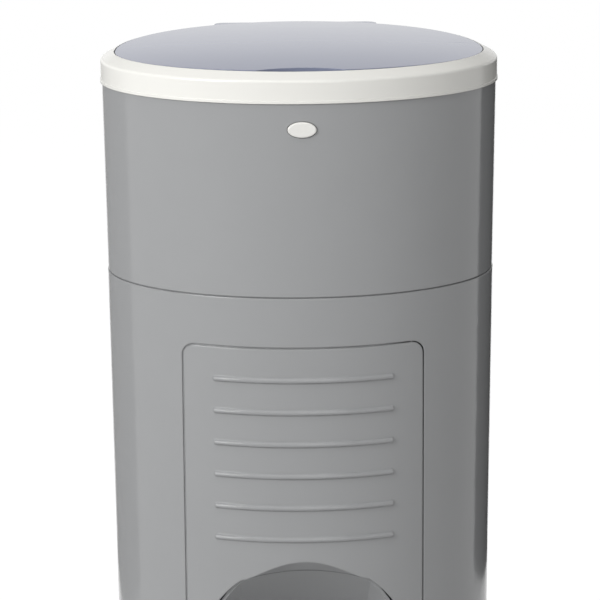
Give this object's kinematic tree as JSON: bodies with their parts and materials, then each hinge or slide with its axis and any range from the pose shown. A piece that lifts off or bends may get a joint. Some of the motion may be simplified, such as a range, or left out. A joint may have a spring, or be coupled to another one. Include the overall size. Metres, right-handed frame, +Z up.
{
  "type": "nappy bin",
  "caption": "Tall egg-plan nappy bin with a ribbed front door, arched foot niche with pedal, white top ring, inset lid and latch button.",
  "frame": {"origin": "on the floor under the middle of the overall box", "axes": "+Z up, front of the bin faces -Y, +X to its right as seen from the front"},
  "size_m": [0.306, 0.2877, 0.7265],
  "materials": {
    "grey_moulding": "smooth gloss, injection moulded",
    "door_grey_moulding": "smooth gloss, injection moulded",
    "hood_grey_moulding": "smooth gloss, injection moulded",
    "niche_moulding": "satin moulding",
    "dark_moulding": "satin moulding",
    "steel_wire": "drawn wire",
    "base_moulding": "fine moulded grain",
    "foot_rubber": "moulded rubber",
    "screw_steel": "zinc plated",
    "inner_moulding": "satin moulding",
    "pedal_moulding": "satin moulding",
    "tread_rubber": "ribbed rubber",
    "axle_steel": "ground bar",
    "spring_steel": "coiled wire",
    "rod_steel": "drawn bar",
    "rod_fitting_moulding": "unpainted nylon",
    "guide_moulding": "unpainted nylon",
    "white_moulding": "smooth gloss, injection moulded",
    "lid_moulding": "high gloss, injection moulded",
    "liner_moulding": "satin moulding",
    "seal_rubber": "soft extruded rubber",
    "button_moulding": "smooth gloss, injection moulded",
    "tray_moulding": "satin moulding",
    "cassette_moulding": "thin satin moulding",
    "film": "gathered thin film",
    "funnel_moulding": "smooth moulding",
    "flap_moulding": "smooth moulding"
  },
  "bodies": {
    "bin": {"body_shell": "grey_moulding", "door_catch": "dark_moulding", "door_hinge_pins": "steel_wire", "niche_liner": "niche_moulding", "base_plate": "base_moulding", "foot_pads": "foot_rubber", "base_screws": "screw_steel", "inner_floor": "inner_moulding", "pedal_axle": "axle_steel", "pedal_spring": "spring_steel", "rod_guides": "guide_moulding", "rod_cover": "inner_moulding", "hood_shell": "hood_grey_moulding", "hinge_pin": "axle_steel", "cassette_tray": "tray_moulding", "tray_screws": "screw_steel", "film_cassette": "cassette_moulding", "film_pack": "film", "film_funnel": "funnel_moulding", "trap_pin": "axle_steel"},
    "ring": {"top_ring": "white_moulding", "ring_catch": "white_moulding"},
    "lid": {"lid_panel": "lid_moulding", "lid_liner": "liner_moulding", "lid_seal": "seal_rubber"},
    "door": {"door_panel": "door_grey_moulding"},
    "pedal": {"pedal": "pedal_moulding", "pedal_tread_pad": "tread_rubber"},
    "rod": {"push_rod": "rod_steel", "rod_foot": "rod_fitting_moulding", "rod_head": "rod_fitting_moulding", "trap_lift_arm": "rod_fitting_moulding"},
    "trap": {"trap_flap": "flap_moulding", "trap_seal": "seal_rubber", "trap_spring": "spring_steel"},
    "button": {"latch_button": "button_moulding", "latch_spring": "spring_steel"}
  },
  "joints": [
    {"name": "ring_hinge", "type": "hinge", "parent": "bin", "child": "ring", "pos_m": [0, 0.1385, 0.712], "axis": [-1, 0, 0], "range_deg": [0, 60]},
    {"name": "lid_hinge", "type": "hinge", "parent": "ring", "child": "lid", "pos_m": [0, 0.1385, 0.712], "axis": [-1, 0, 0], "range_deg": [0, 78]},
    {"name": "door_hinge", "type": "hinge", "parent": "bin", "child": "door", "pos_m": [0.0853, -0.11437, 0.232], "axis": [-0.0142, -0.0173, 0.9997], "range_deg": [0, 100]},
    {"name": "pedal_hinge", "type": "hinge", "parent": "bin", "child": "pedal", "pos_m": [0, -0.00454, 0.028], "axis": [1, 0, 0], "range_deg": [0, 8.75], "deforming": ["pedal_spring"]},
    {"name": "rod_slide", "type": "slide", "parent": "bin", "child": "rod", "axis": [0, 0, 1], "range_m": [0, 0.0181]},
    {"name": "trap_hinge", "type": "hinge", "parent": "bin", "child": "trap", "pos_m": [0, 0.078, 0.582], "axis": [1, 0, 0], "range_deg": [0, 78.5], "stiffness_Nm_per_rad": 0.12, "springref_deg": -57.3},
    {"name": "button_slide", "type": "slide", "parent": "bin", "child": "button", "axis": [0, 1, 0], "range_m": [0, 0.003], "stiffness_N_per_m": 300}
  ],
  "couplings": [
    {"joint": "pedal_hinge", "follows": "lid_hinge", "ratio": 0.11154},
    {"joint": "rod_slide", "follows": "lid_hinge", "m_per_rad": 0.013222},
    {"joint": "trap_hinge", "follows": "lid_hinge", "ratio": 1}
  ]
}
